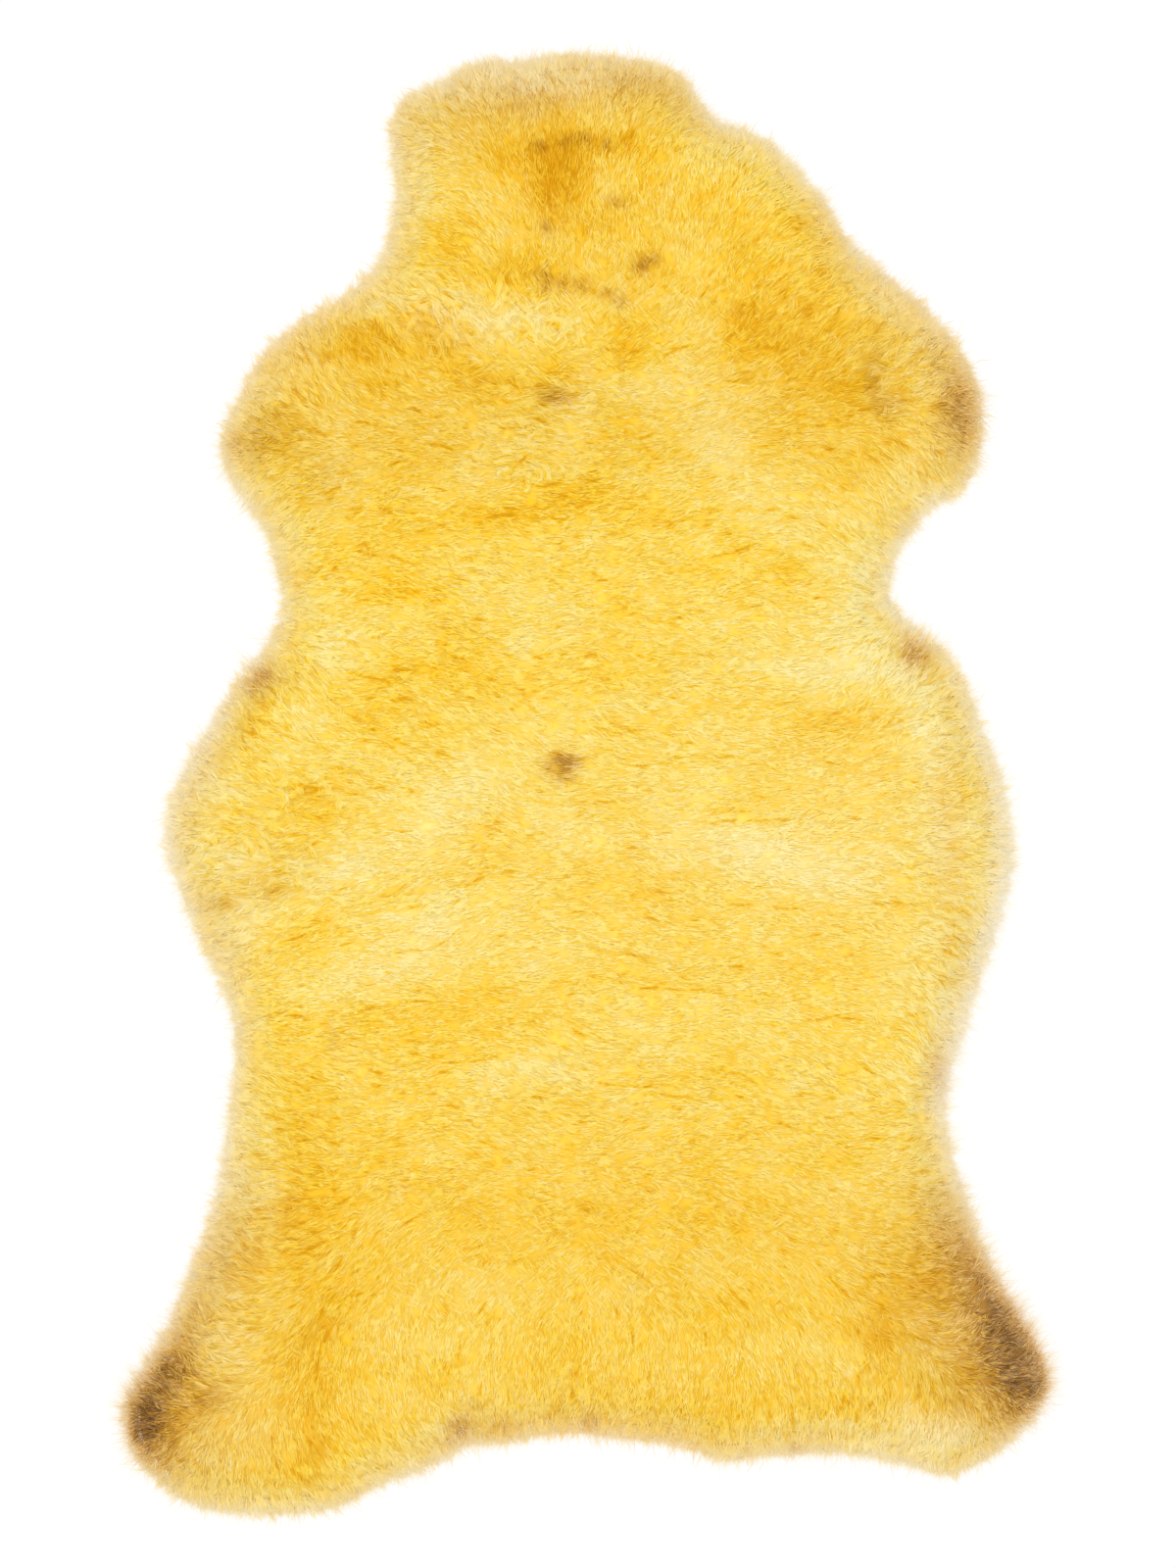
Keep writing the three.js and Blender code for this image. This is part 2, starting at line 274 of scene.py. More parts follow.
def depth_inside(line, x, y):
    """How far points lie inside a closed line, below 0 outside it."""
    nearest = np.full(x.shape, np.inf)
    inside = np.zeros(x.shape, bool)
    for (x0, y0), (x1, y1) in zip(line, np.roll(line, -1, axis=0)):
        run_x, run_y = x1 - x0, y1 - y0
        share = np.clip(((x - x0) * run_x + (y - y0) * run_y) / (run_x ** 2 + run_y ** 2), 0, 1)
        gap = (x - x0 - share * run_x) ** 2 + (y - y0 - share * run_y) ** 2
        nearest = np.minimum(nearest, gap)
        if run_y:
            crosses = (y0 > y) != (y1 > y)
            inside ^= crosses & (x < x0 + (y - y0) * run_x / run_y)
    return np.where(inside, 1, -1) * np.sqrt(nearest)


def pelt_heights(x, y):
    """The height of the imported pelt's upper side at points of the plan, 0 beside it."""
    mesh = pelt.data
    corners = [vertex.co.copy() for vertex in mesh.vertices]
    tree = BVHTree.FromPolygons(corners, [tuple(face.vertices) for face in mesh.polygons])
    down = Vector((0, 0, -1))
    heights = np.zeros(x.size)
    for index, (across, along) in enumerate(zip(x.flat, y.flat)):
        hit = tree.ray_cast(Vector((across * MM, along * MM, 1)), down)[0]
        if hit:
            heights[index] = hit.z / MM
    return heights.reshape(x.shape)


skin_line, skin_area = skin_edge_line()

# Depth in from the tips of the longest edge wool, and the way out to the nearest edge
depth = depth_inside(skin_line, plan_x, plan_y) + FRINGE_REACH
depth_slopes = np.gradient(soften(depth, EDGE_SOFTENING), PLAN_STEP)
out_x, out_y = (-soften(slope, OUTWARD_SOFTENING) for slope in depth_slopes)
out_length = np.maximum(np.hypot(out_x, out_y), 1e-6)
out_x, out_y = out_x / out_length, out_y / out_length

# The nap's height, sloping on down to the floor where the edge wool lies
sloping_edge = SLOPE_HEIGHT * np.sqrt(np.clip(depth / SLOPE_WIDTH, 0, 1))
packed_or_sloping = np.where(depth > SLOPE_WIDTH, pelt_heights(plan_x, plan_y), sloping_edge)
nap_height = soften(packed_or_sloping, HEIGHT_SOFTENING)
slope_x, slope_y = np.gradient(nap_height, PLAN_STEP)


def scattered(random, spacing, least_depth):
    """Points about spacing apart, wherever they lie deeper than least_depth."""
    grid_x, grid_y = grid(PLAN_HALF_WIDTH, PLAN_HALF_LENGTH, spacing, past_end=0)
    x = (grid_x + random.uniform(0, spacing, grid_x.shape)).ravel()
    y = (grid_y + random.uniform(0, spacing, grid_y.shape)).ravel()
    inside = read_plan(depth, x, y) > least_depth
    return x[inside], y[inside]


# The lie of the wool

# Where along the pelt the neck and the rump begin and are in full, and the same for the edge's depth
NECK_SPAN = (210, 400)
RUMP_SPAN = (-190, -400)
EDGE_SPAN = (115, 25)

turn_slow = lattice_noise(11, 95)
turn_quick = lattice_noise(12, 34)


def side_of_the_parting(random, x):
    """1 where a tuft at x lies over to the right, and -1 where to the left."""
    return np.where(random.uniform(-1, 1, len(x)) < np.tanh(x / PARTING), 1, -1)


def lie_of_the_wool(x, y, side):
    """The heading of the combed wool at points: sideways off the back, on towards the neck's end and the
    tail there, and straight outwards at the edge."""
    neck = smooth_step(*NECK_SPAN, y)
    rump = smooth_step(*RUMP_SPAN, y)
    comb_x = side * (1 - 0.75 * neck) * (1 - 0.55 * rump)
    comb_y = 0.06 + 0.9 * neck - 0.9 * rump
    edge = smooth_step(*EDGE_SPAN, read_plan(depth, x, y))
    comb_x = comb_x * (1 - edge) + read_plan(out_x, x, y) * edge
    comb_y = comb_y * (1 - edge) + read_plan(out_y, x, y) * edge
    return np.arctan2(comb_y, comb_x) + 0.2 * turn_slow(x, y) + 0.24 * turn_quick(x, y)


# Where the combed wool lies loose in open tufts instead of close like velvet
LOOSE_PLACES = [
    # across, along, length, width, turn, strength
    (-90, 320, 190, 90, -20, 0.8),
    (-200, 260, 120, 90, 20, 0.5),
    (190, 280, 160, 120, -30, 0.5),
    (0, 60, 420, 300, 0, 0.3),
    (-215, -40, 160, 110, 90, 0.8),
    (240, -60, 240, 60, 90, 0.6),
    (-235, -320, 220, 110, 65, 0.9),
    (240, -370, 190, 90, -60, 0.7),
    (60, -205, 240, 40, 0, 0.5),
]


loose_slow = lattice_noise(35, 40)
loose_quick = lattice_noise(36, 18)


def looseness(x, y):
    """How open the tufts lie at points, from 0 to 1."""
    patchy = 0.18 * loose_slow(x, y) + 0.12 * loose_quick(x, y)
    edge = 0.35 * smooth_step(70, 20, read_plan(depth, x, y))
    return np.clip(0.12 + patchy + edge + mark_strength(LOOSE_PLACES, x, y), 0, 1)


# Longer creases that run on from lock to lock
LONG_CREASES = [
    # across, along, length, turn, bow
    (20, -205, 100, 0, 5),
    (68, -207, 60, -4, -3),
    (150, -210, 36, 6, 3),
    (204, -216, 24, 0, 2),
    (-140, 152, 50, -10, 4),
    (-138, 159, 30, 12, 3),
    (-152, 102, 44, 8, -4),
    (-158, 72, 56, -6, 4),
    (-133, 322, 26, -40, 3),
    (-140, 312, 30, -52, -3),
    (-106, 309, 50, -16, 6),
    (-88, 300, 44, 10, -5),
    (-30, 305, 40, 20, 5),
    (-18, 316, 34, -14, 4),
    (60, 288, 40, 24, 4),
    (-180, -6, 34, 8, 4),
    (-188, 2, 24, -12, -3),
    (-207, 5, 14, 60, 2),
    (-36, 216, 40, 30, 6),
    (-28, 208, 36, 14, -5),
    (-60, -64, 70, 12, 6),
    (-110, -104, 60, 18, -5),
    (84, -30, 90, 8, 6),
    (120, -84, 70, -4, 4),
    (-60, 178, 60, 6, 4),
    (92, 160, 60, 16, -4),
    (60, -140, 90, -3, 4),
    (-130, -150, 60, 8, 4),
    (-90, -182, 80, 4, -4),
    (160, -160, 60, 8, 4),
]


# Where single locks curl up out of the combed wool
CURLY_PLACES = [
    # across, along, length, width, turn, number of curls
    (-106, 312, 90, 26, -14, 8),
    (-60, 303, 70, 24, 0, 8),
    (-20, 308, 60, 20, 0, 6),
    (-34, 217, 50, 34, 8, 7),
    (-70, 207, 60, 20, 10, 4),
    (-206, 4, 20, 26, 90, 3),
    (-184, -6, 50, 22, -10, 4),
    (-222, -54, 90, 40, 5, 9),
    (-210, -72, 40, 24, 0, 3),
    (-268, -396, 40, 30, 40, 4),
]


crease_wander = lattice_noise(64, 9)
crease_breaks = lattice_noise(65, 7)


def draw_creases():
    """A plan of the creases between locks, from 0 to 1. Each is a thin dash that bends and tapers."""
    random = np.random.default_rng(7)
    x, y = scattered(random, CREASE_SPACING, UNDERWOOL_EDGE)
    loose = looseness(x, y)
    count = len(x)
    lie = lie_of_the_wool(x, y, side_of_the_parting(random, x))
    heading = lie + random.normal(0, 0.25, count) * (0.6 + loose)
    length = SHORTEST_CREASE + random.gamma(1.6, 3.6, count)
    bow = random.normal(0, 1, count) * (0.8 + 1.6 * loose)
    strength = np.clip(random.gamma(1.0, 0.42, count) * (0.6 + 0.9 * loose), 0, DEEPEST_CREASE)
    lines = [np.column_stack([x, y, heading, length, bow, strength])]
    for across, along, long, turn, bend in LONG_CREASES:
        lines.append([(across, along, math.radians(turn), long, bend, DEEPEST_CREASE)])
    x, y, heading, length, bow, strength = np.vstack(lines).T

    # Each crease as a row of spots, from its one end at -1 to its other end at 1
    station = np.linspace(-1, 1, CREASE_SPOTS)
    run = length[:, None] / 2 * station
    drift = bow[:, None] * (1 - station ** 2) + 1.6 * crease_wander(x[:, None] + run, y[:, None])
    spot_x = x[:, None] + np.cos(heading)[:, None] * run - np.sin(heading)[:, None] * drift
    spot_y = y[:, None] + np.sin(heading)[:, None] * run + np.cos(heading)[:, None] * drift
    broken = smooth_step(-0.6, 0.2, crease_breaks(spot_x, spot_y))
    weight = strength[:, None] * (1 - station ** 4) * broken

    # Each spot marks the plan's points round it, where the strands are pressed down and get painted shade
    field = np.zeros((2 * PLAN_HALF_WIDTH // CREASE_STEP + 1, 2 * PLAN_HALF_LENGTH // CREASE_STEP + 1))
    column = np.round((spot_x + PLAN_HALF_WIDTH) / CREASE_STEP).astype(int)
    row = np.round((spot_y + PLAN_HALF_LENGTH) / CREASE_STEP).astype(int)
    round_about = range(-CREASE_REACH, CREASE_REACH + 1)
    for right in round_about:
        for up in round_about:
            off_x = (column + right) * CREASE_STEP - PLAN_HALF_WIDTH - spot_x
            off_y = (row + up) * CREASE_STEP - PLAN_HALF_LENGTH - spot_y
            near = weight * np.exp(-(off_x ** 2 + off_y ** 2) / (2 * CREASE_WIDTH ** 2))
            spots = (
                np.clip(column + right, 0, field.shape[0] - 1),
                np.clip(row + up, 0, field.shape[1] - 1),
            )
            np.maximum.at(field, spots, near)
    return field


# The wool's own tone swells and fades over lengths from one tuft to two fingers' breadth, in bands that
# run mostly across the pelt
TONE_SWELLS = [
    # seed, spacing, most
    (71, 9, 0.4),
    (72, 18, 0.45),
    (73, 34, 0.3),
]
TONE_BANDING = 1.7

# Whole patches of the pelt where the wool is deeper or paler in tone than the rest
TONE_PATCHES = [
    # across, along, length, width, turn, change of tone
    # Neck
    (-112, 418, 84, 38, 90, 0.9),
    (-112, 345, 54, 31, 90, 0.6),
    (-79, 388, 46, 23, 0, 0.6),
    (-50, 366, 42, 27, 0, 0.8),
    (15, 405, 31, 20, 90, 0.5),
    (-23, 412, 61, 46, 90, -2.0),
    (-53, 425, 46, 31, 0, -1.6),
    (21, 428, 46, 19, 0, -1.6),
    (14, 375, 38, 19, 0, -1.2),
    (44, 405, 46, 31, 90, -0.8),
    (30, 462, 90, 40, -10, -0.8),
    (-92, 365, 46, 34, 20, -1.3),
    (-19, 345, 99, 31, 0, -0.9),
    (27, 352, 38, 20, 0, -0.8),
    # Collar
    (-119, 317, 61, 23, -10, 0.9),
    (-79, 309, 46, 26, 0, 0.9),
    (-39, 312, 46, 31, 0, 0.8),
    (-5, 249, 46, 23, 90, 0.9),
    (-26, 222, 46, 28, 0, 0.5),
    (-86, 205, 76, 17, 10, 0.2),
    (41, 270, 76, 31, 18, 0.9),
    (78, 290, 110, 40, 0, -0.5),
    (67, 299, 31, 31, 0, 0.5),
    (31, 302, 55, 35, 60, -1.7),
    (-16, 282, 34, 17, 0, -1.1),
    (-152, 302, 61, 31, -25, -1.1),
    (-92, 281, 69, 20, -25, -1.1),
    (-99, 232, 61, 35, 20, -0.8),
    (-205, 239, 34, 34, 0, -0.6),
    (-146, 259, 99, 46, 0, -0.4),
    # Shoulders
    (87, 235, 76, 43, -70, 1.1),
    (104, 199, 61, 38, -50, 0.8),
    (127, 167, 69, 21, -35, 0.8),
    (167, 186, 61, 38, 0, 0.7),
    (182, 139, 76, 46, 90, 1.2),
    (-166, 92, 54, 34, 0, 1.0),
    (-39, 111, 50, 46, 0, 0.9),
    (-76, 146, 69, 46, 0, 0.3),
    (107, 312, 46, 41, 90, -1.2),
    (147, 297, 92, 61, -30, -0.8),
    (100, 372, 92, 61, -45, -0.8),
    (146, 368, 54, 40, -45, -0.7),
    (128, 236, 54, 40, 0, -0.6),
    (174, 245, 92, 61, 90, -0.9),
    (27, 225, 54, 46, 0, -0.9),
    (-26, 188, 115, 28, 5, -1.5),
    (2, 199, 38, 23, 90, -0.9),
    (-119, 191, 46, 38, 0, -0.6),
    (-132, 131, 50, 31, 0, -1.4),
    (-112, 159, 46, 38, 60, -0.6),
    (-79, 106, 84, 46, 30, -0.5),
    (127, 151, 84, 29, -35, -1.2),
    (21, 119, 69, 23, 80, -0.8),
    (-53, 71, 69, 31, 0, -0.9),
    (-106, 79, 46, 38, 0, -0.5),
    # Back and flanks
    (-192, 39, 61, 38, 70, 1.0),
    (-136, 46, 49, 31, 70, -0.8),
    (-59, -1, 46, 35, 0, 0.3),
    (-99, 9, 99, 43, 8, 0.4),
    (-106, -158, 84, 34, 5, 0.8),
    (158, 104, 100, 64, -20, 1.0),
    (62, 36, 84, 60, 0, 0.5),
    (-15, -14, 44, 26, 0, 1.0),
    (224, -150, 60, 150, 0, 0.5),
    (-58, -60, 50, 80, 0, -0.5),
    (96, -338, 60, 44, 0, -0.5),
    (205, -62, 54, 30, 0, -1.2),
    (-219, -235, 44, 60, 0, 0.5),
    (-175, -270, 44, 32, 0, -0.6),
    (-190, -395, 60, 50, 0, -0.6),
    (-120, -400, 70, 50, 0, -0.5),
    (-122, -37, 199, 35, 30, 1.4),
    (-116, -104, 122, 50, 25, 1.45),
    (-164, -134, 54, 31, 30, 0.9),
    (-244, -54, 43, 31, 0, 0.7),
    (-33, -184, 92, 31, 5, 1.0),
    (-26, -110, 84, 69, 0, 0.2),
    (167, 78, 130, 23, -8, 1.5),
    (223, 36, 122, 34, -75, 1.5),
    (222, -16, 99, 60, 90, 0.3),
    (120, -45, 199, 37, -8, 1.6),
    (134, -64, 84, 28, 0, 1.0),
    (80, -160, 84, 46, 10, 0.6),
    (167, 46, 61, 31, 20, -0.6),
    (-178, -18, 54, 37, -45, -0.6),
    (-219, 53, 43, 34, 60, -0.7),
    (-184, -95, 58, 38, -45, -1.2),
    (-104, -156, 115, 50, 3, -1.6),
    (41, -67, 58, 38, 0, -0.8),
    (152, -114, 46, 28, 90, -0.5),
    # Rump and legs
    (-191, -180, 46, 46, 0, -0.6),
    (-186, -260, 99, 46, 85, -1.0),
    (-239, -380, 50, 46, 0, 0.8),
    (-126, -366, 61, 28, 0, 0.6),
    (-131, -267, 35, 15, 0, 0.5),
    (-160, -440, 70, 50, 0, -0.8),
    (-125, -340, 60, 60, 0, -0.6),
    (-132, -196, 46, 15, 0, 0.5),
    (1, -293, 329, 69, 0, -0.6),
    (82, -293, 84, 46, 0, -0.5),
    (100, -350, 122, 28, 0, -0.9),
    (94, -413, 252, 31, 0, -0.8),
    (34, -380, 161, 46, 0, -0.5),
    (-172, -346, 69, 61, 0, -0.9),
    (-186, -400, 99, 46, 80, -0.9),
    (-191, -440, 64, 38, 60, -0.9),
    (-269, -420, 84, 46, 30, -0.6),
    (200, -366, 84, 38, 90, -0.7),
    (227, -327, 46, 38, 90, -0.3),
    (233, -434, 92, 35, 0, 1.4),
    (-66, -420, 92, 43, 0, 0.6),
    (-99, -433, 46, 31, 0, 0.6),
    (167, -293, 69, 61, 0, 0.4),
]


def tone_of_the_wool(x, y):
    """The wool's tone at points: below 0 it is deeper in colour, and above 0 paler."""
    tone = sum_of_marks(TONE_PATCHES, x, y)
    for seed, spacing, most in TONE_SWELLS:
        tone += most * lattice_noise(seed, spacing)(x / TONE_BANDING, y)
    return tone


# Marks in the wool: where it is darker, deeper in colour or paler than the rest, as on most real pelts.
# A mark is a soft oval: its place across and along, its length, width and turn, and its strength.

# Naturally brown wool that the dye has only warmed, at the feet and in single spots
BROWN_MARKS = [
    (-299, -426, 68, 42, 80, 0.74),
    (-297, -432, 26, 18, 70, 0.5),
    (-281, -394, 36, 24, 40, 0.36),
    (-255, -413, 30, 22, 20, 0.3),
    (288, -371, 104, 30, -62, 0.6),
    (295, -387, 54, 36, -66, 0.53),
    (258, -315, 70, 30, -62, 0.1),
    (-208, 68, 40, 14, 20, 0.12),
    (272, -378, 140, 84, -60, 0.4),
    (290, -404, 52, 44, -60, 0.3),
    (288, -370, 34, 18, -60, 0.35),
    (255, 253, 60, 32, 80, 0.44),
    (-15, 17, 24, 11, 4, 0.6),
    (-14, 8, 15, 14, 0, 0.4),
    (-23, 262, 25, 14, 0, 0.42),
    (35, 350, 14, 11, 40, 0.45),
    (44, 354, 12, 9, 30, 0.42),
    (-219, 235, 54, 34, 20, 0.26),
    (221, 87, 28, 24, 100, 0.5),
    (246, -31, 190, 30, 92, 0.07),
    (240, -194, 42, 20, 95, 0.2),
    (196, 272, 46, 12, 92, 0.22),
    (205, 255, 17, 14, 60, 0.3),
    (-222, 74, 18, 16, 40, 0.45),
    (-252, -79, 30, 18, 0, 0.2),
    (-211, -70, 26, 14, 10, 0.16),
    (-220, -54, 84, 36, 10, 0.08),
    (-169, -168, 22, 10, 90, 0.14),
    (-89, -436, 20, 16, 60, 0.5),
    (-79, -420, 16, 10, 0, 0.25),
    (-56, -434, 36, 16, 0, 0.2),
    (1, -434, 18, 14, 90, 0.38),
    (140, -452, 16, 11, 0, 0.3),
    (-29, 343, 9, 8, 0, 0.43),
    (-28, 335, 9, 8, 0, 0.44),
    (-16, 337, 9, 8, 0, 0.43),
    (-3, 336, 9, 8, 0, 0.44),
    (13, 333, 9, 8, -20, 0.43),
    (24, 326, 9, 8, -30, 0.44),
    (-31, 430, 10, 9, 0, 0.42),
    (-13, 432, 11, 8, 0, 0.43),
    (-1, 432, 10, 8, 0, 0.43),
    (14, 430, 11, 8, 0, 0.43),
    (-27, 376, 10, 8, 0, 0.48),
    (23, 393, 10, 8, 0, 0.41),
    (-252, -335, 190, 44, 65, 0.14),
    (-36, 463, 66, 24, 0, 0.2),
    (-92, 445, 90, 44, 0, 0.14),
    (35, 472, 90, 44, -20, 0.12),
    (242, 280, 64, 28, 100, 0.16),
    (236, -298, 64, 34, -60, 0.16),
    (252, -415, 40, 30, 0, 0.1),
    (-279, -374, 44, 30, 40, 0.1),
    (-26, 239, 380, 80, 0, 0.07),
    (-179, 205, 60, 50, 0, 0.12),
    (-259, 26, 170, 44, 78, 0.07),
    (205, 280, 60, 50, 0, 0.08),
    (-262, -400, 130, 60, 40, 0.1),
    (-275, -455, 90, 50, 0, 0.16),
]

# Wool that took the dye more deeply
AMBER_MARKS = [
    (-21, 408, 62, 48, 90, 0.38),
    (-20, 400, 210, 190, 0, 0.22),
    (-150, 275, 190, 120, -20, 0.22),
    (180, 285, 200, 170, -35, 0.2),
    (-190, -350, 200, 150, 65, 0.2),
    (205, -350, 180, 110, -60, 0.2),
    (20, -425, 420, 70, 0, 0.2),
    (27, -310, 330, 200, 0, 0.2),
    (4, 335, 80, 16, -6, 0.2),
    (-8, 431, 66, 18, 0, 0.2),
    (40, 352, 30, 20, 35, 0.25),
    (-72, 273, 14, 10, 30, 0.6),
    (-152, 300, 46, 32, -30, 0.25),
    (130, 292, 100, 76, -35, 0.2),
    (104, 319, 12, 9, 0, 0.6),
    (147, 320, 12, 9, 0, 0.6),
    (246, -20, 170, 24, 92, 0.16),
    (-106, 309, 60, 30, -20, 0.4),
    (-184, -6, 32, 14, 0, 0.22),
    (-199, -287, 28, 15, 90, 0.5),
    (-182, -366, 36, 13, 10, 0.4),
    (-179, -450, 22, 13, 90, 0.5),
    (230, -333, 24, 16, 0, 0.5),
    (218, -345, 74, 54, 60, 0.25),
    (198, -366, 30, 20, 90, 0.35),
]

# Wool that stayed pale
PALE_MARKS = [
    (1, 280, 12, 9, 90, 0.8),
    (-6, 106, 16, 10, 90, 0.6),
    (-39, -120, 13, 9, 0, 0.5),
    (-126, -270, 13, 9, 0, 0.4),
    (100, -283, 12, 9, 0, 0.5),
    (-135, -45, 160, 40, 28, 0.14),
    (-116, -112, 100, 44, 25, 0.2),
    (110, -46, 170, 40, -8, 0.2),
    (190, -10, 260, 130, 90, 0.22),
    (20, -60, 330, 200, 5, 0.16),
    (275, -30, 220, 22, 92, 0.5),
    (-64, 474, 190, 44, 6, 0.5),
    (235, -436, 90, 36, 0, 0.4),
    (222, 205, 60, 50, 60, 0.4),
    (-262, 10, 110, 40, 70, 0.3),
]

# Wool that kept some of its own cream under the dye
CREAM_MARKS = [
    (-40, 480, 260, 40, 0, 0.36),
    (-205, 278, 60, 40, 30, 0.15),
    (207, 322, 90, 36, -35, 0.2),
    (246, 243, 50, 34, 90, 0.2),
    (-268, 15, 130, 40, 75, 0.25),
    (255, -180, 120, 44, 95, 0.25),
    (272, -340, 150, 44, -60, 0.3),
    (-245, -115, 90, 44, 75, 0.3),
    (215, -438, 140, 34, 0, 0.1),
    (-245, -325, 110, 50, 65, 0.2),
    (-255, -440, 120, 80, 20, 0.15),
]

# Stretches of the edge where the cream runs further in, partly paler wool and partly painted light
# shining through the thin edge wool
PALE_EDGES = [
    (285, -60, 290, 90, 92, 1.0),
    (235, -190, 160, 70, 92, 0.6),
    (-270, 0, 180, 70, 80, 0.5),
    (-40, 495, 240, 60, 0, 0.25),
    (300, -385, 120, 50, -60, 0.5),
    (-310, -425, 110, 50, 75, 0.4),
]


# How the marks' borders wander, as they do in real wool
BORDER_WANDER = [
    # seed across, seed along, spacing, most
    (56, 57, 4, 1.6),
    (51, 53, 9, 2),
    (52, 54, 26, 3),
]

edge_fade = lattice_noise(55, 40)


def sum_of_marks(marks, x, y):
    """The marks' strengths added up at points."""
    wander_x, wander_y = x, y
    for seed_x, seed_y, spacing, most in BORDER_WANDER:
        wander_x = wander_x + most * lattice_noise(seed_x, spacing)(x, y)
        wander_y = wander_y + most * lattice_noise(seed_y, spacing)(x, y)
    strength = np.zeros(np.shape(x))
    for across, along, length, width, turn, most in marks:
        cosine, sine = math.cos(math.radians(turn)), math.sin(math.radians(turn))
        lengthways = ((wander_x - across) * cosine + (wander_y - along) * sine) / (length / 2)
        sideways = ((wander_y - along) * cosine - (wander_x - across) * sine) / (width / 2)
        strength += most * np.exp(-(lengthways ** 2 + sideways ** 2))
    return strength


def mark_strength(marks, x, y):
    """How strongly a set of marks shows at points, from 0 to 1."""
    return np.clip(sum_of_marks(marks, x, y), 0, 1)


def marks_at(x, y, doubt):
    """The share of each of the wool's other colours at points. doubt, from 0 to 1, sets strands apart.
    Towards the edge the wool turns pale cream, more in some places than in others: partly its own undyed
    cream, partly painted light shining through the thin edge wool."""
    inward = read_plan(depth, x, y)
    pale_edge = mark_strength(PALE_EDGES, x, y)
    # Paler and cream towards the edge: partly undyed wool, partly painted light shining through the thin
    # edge wool
    undyed_and_backlit = 0.85 + 0.15 * edge_fade(x, y)
    edge_pale = undyed_and_backlit * smooth_step(36 + 4 * pale_edge, 5 + 8 * pale_edge, inward)
    edge_cream = undyed_and_backlit * smooth_step(14 + 12 * pale_edge, -3, inward)
    brown = mark_strength(BROWN_MARKS, x, y) * (0.4 + 1.1 * doubt) * smooth_step(-3, 15, inward)
    return {
        "pale": np.maximum(edge_pale, mark_strength(PALE_MARKS, x, y)),
        "cream": np.maximum(edge_cream, mark_strength(CREAM_MARKS, x, y)),
        "amber": mark_strength(AMBER_MARKS, x, y),
        "brown": np.clip(brown, 0, 1),
    }


# Meshes

def add_object(name, data):
    """An object with its data, linked into the scene."""
    thing = bpy.data.objects.new(name, data)
    bpy.context.scene.collection.objects.link(thing)
    return thing


def build_piece(name, points, corners, starts, material, values, uv=None, normals=None):
    """Makes a piece from arrays: points in millimetres, the corners of its faces, and named values."""
    mesh = bpy.data.meshes.new(name)
    mesh.vertices.add(len(points))
    mesh.loops.add(len(corners))
    mesh.polygons.add(len(starts))
    mesh.vertices.foreach_set("co", (points * MM).astype(np.float32).ravel())
    mesh.loops.foreach_set("vertex_index", corners.astype(np.int32))
    mesh.polygons.foreach_set("loop_start", starts.astype(np.int32))
    mesh.update(calc_edges=True)
    mesh.polygons.foreach_set("use_smooth", np.ones(len(starts), bool))
    for value_name, value in values.items():
        layer = mesh.attributes.new(value_name, "FLOAT", "POINT")
        layer.data.foreach_set("value", value.astype(np.float32).ravel())
    if uv is not None:
        mesh.uv_layers.new(name="OFBake").data.foreach_set("uv", uv.astype(np.float32).ravel())
    if normals is not None:
        mesh.normals_split_custom_set_from_vertices(normals.astype(np.float32))
    mesh.materials.append(material)
    piece = add_object(name, mesh)
    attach(piece, "root")
    return piece


def rolled(beside, roll):
    """The way across each strand, rolled out of level by an angle."""
    return np.column_stack([beside * np.cos(roll)[:, None], np.sin(roll)])


def leaning_normals(lean_x, lean_y):
    """Unit normals that point up but for a lean."""
    normals = np.stack([lean_x, lean_y, np.ones_like(lean_x)], axis=2)
    return normals / np.linalg.norm(normals, axis=2, keepdims=True)


def build_strands(name, paths, width, sideways, normals, values, material):
    """Makes a piece of fine strands. Each is two triangles: from its root to the two corners of its
    middle, which is width wide, and from them to its tip."""
    count = len(paths)
    half = sideways * (width / 2)[:, None]
    root, middle, tip = paths[:, 0], paths[:, 1], paths[:, 2]
    points = np.stack([root, middle - half, middle + half, tip], axis=1)
    stations = np.array([0, 1, 1, 2])
    pattern = np.array([0, 1, 2, 1, 3, 2])
    order = np.arange(count)[:, None]
    corners = (order * 4 + pattern).ravel()
    starts = np.arange(2 * count) * 3

    # Each strand has a cell of its own in the piece's flat map
    cells = math.ceil(math.sqrt(count))
    cell = np.stack([order % cells, order // cells], axis=2)
    in_cell = np.array([(0.5, 0.0), (0.0, 0.5), (0.9, 0.5), (0.5, 0.9)])
    uv = (cell + in_cell[pattern]) / cells
    values = {key: np.broadcast_to(value, (count, 3))[:, stations] for key, value in values.items()}
    points, uv, normals = points.reshape(-1, 3), uv.reshape(-1, 2), normals[:, stations].reshape(-1, 3)
    return build_piece(name, points, corners, starts, material, values, uv, normals)


# Materials

# The wool's colours, each from deep in the nap to the pale tips. The deep end is painted shade, for
# light caught deep in the nap
GOLDEN_WOOL = [
    (0.0, 0xE8A608),
    (0.12, 0xF7C11B),
    (0.3, 0xFCD436),
    (0.5, 0xFCDE5A),
    (0.7, 0xFCE57E),
    (1.0, 0xFCEEA8),
]
PALE_WOOL = [(0.0, 0xF6CE52), (0.5, 0xFCE48E), (1.0, 0xFEF2BC)]
CREAM_WOOL = [(0.0, 0xEED08C), (0.5, 0xF5E6C8), (1.0, 0xFCF6EA)]
AMBER_WOOL = [(0.0, 0xDC9A0A), (0.5, 0xF4B720), (1.0, 0xFBCB50)]
TAN_WOOL = [(0.0, 0xA66208), (0.5, 0xD29228), (1.0, 0xE8B25A)]
BROWN_WOOL = [(0.0, 0x543412), (0.5, 0x8C6436), (1.0, 0xBE9A6C)]
TONE_STEP = 0.16


def paint(hex_colour):
    """A linear colour from an sRGB hex value."""
    channels = [((hex_colour >> shift) & 255) / 255 for shift in (16, 8, 0)]
    linear = [c / 12.92 if c <= 0.04045 else ((c + 0.055) / 1.055) ** 2.4 for c in channels]
    return (*linear, 1)


